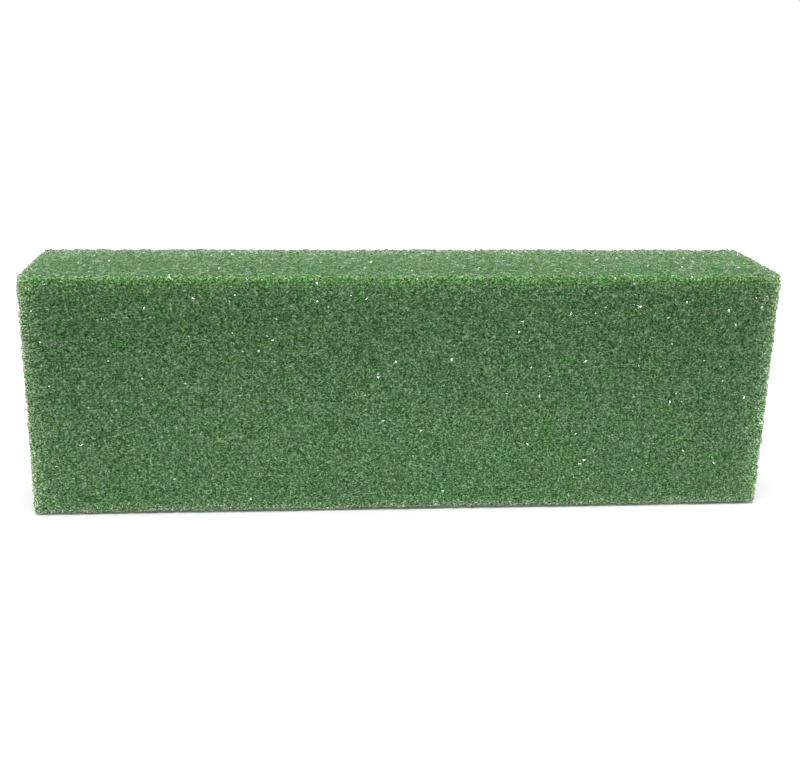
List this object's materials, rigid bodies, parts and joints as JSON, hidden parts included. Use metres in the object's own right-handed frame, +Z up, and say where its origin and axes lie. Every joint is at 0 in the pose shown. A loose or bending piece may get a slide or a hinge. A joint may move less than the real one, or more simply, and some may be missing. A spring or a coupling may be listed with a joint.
{
  "type": "floral foam brick",
  "caption": "Long rectangular block of rigid green craft foam with coarse open-cut cells, for holding stems and picks in floral arrangements.",
  "frame": {"origin": "middle of the long narrow side that the brick stands on", "axes": "+X along the length, +Y through the thickness from the front to the back, +Z up"},
  "size_m": [0.3048, 0.0508, 0.1016],
  "materials": {
    "foam": "rigid green foam with coarse open-cut cells, matt with small glints"
  },
  "bodies": {
    "root": {"foam_brick": "foam"}
  },
  "joints": []
}
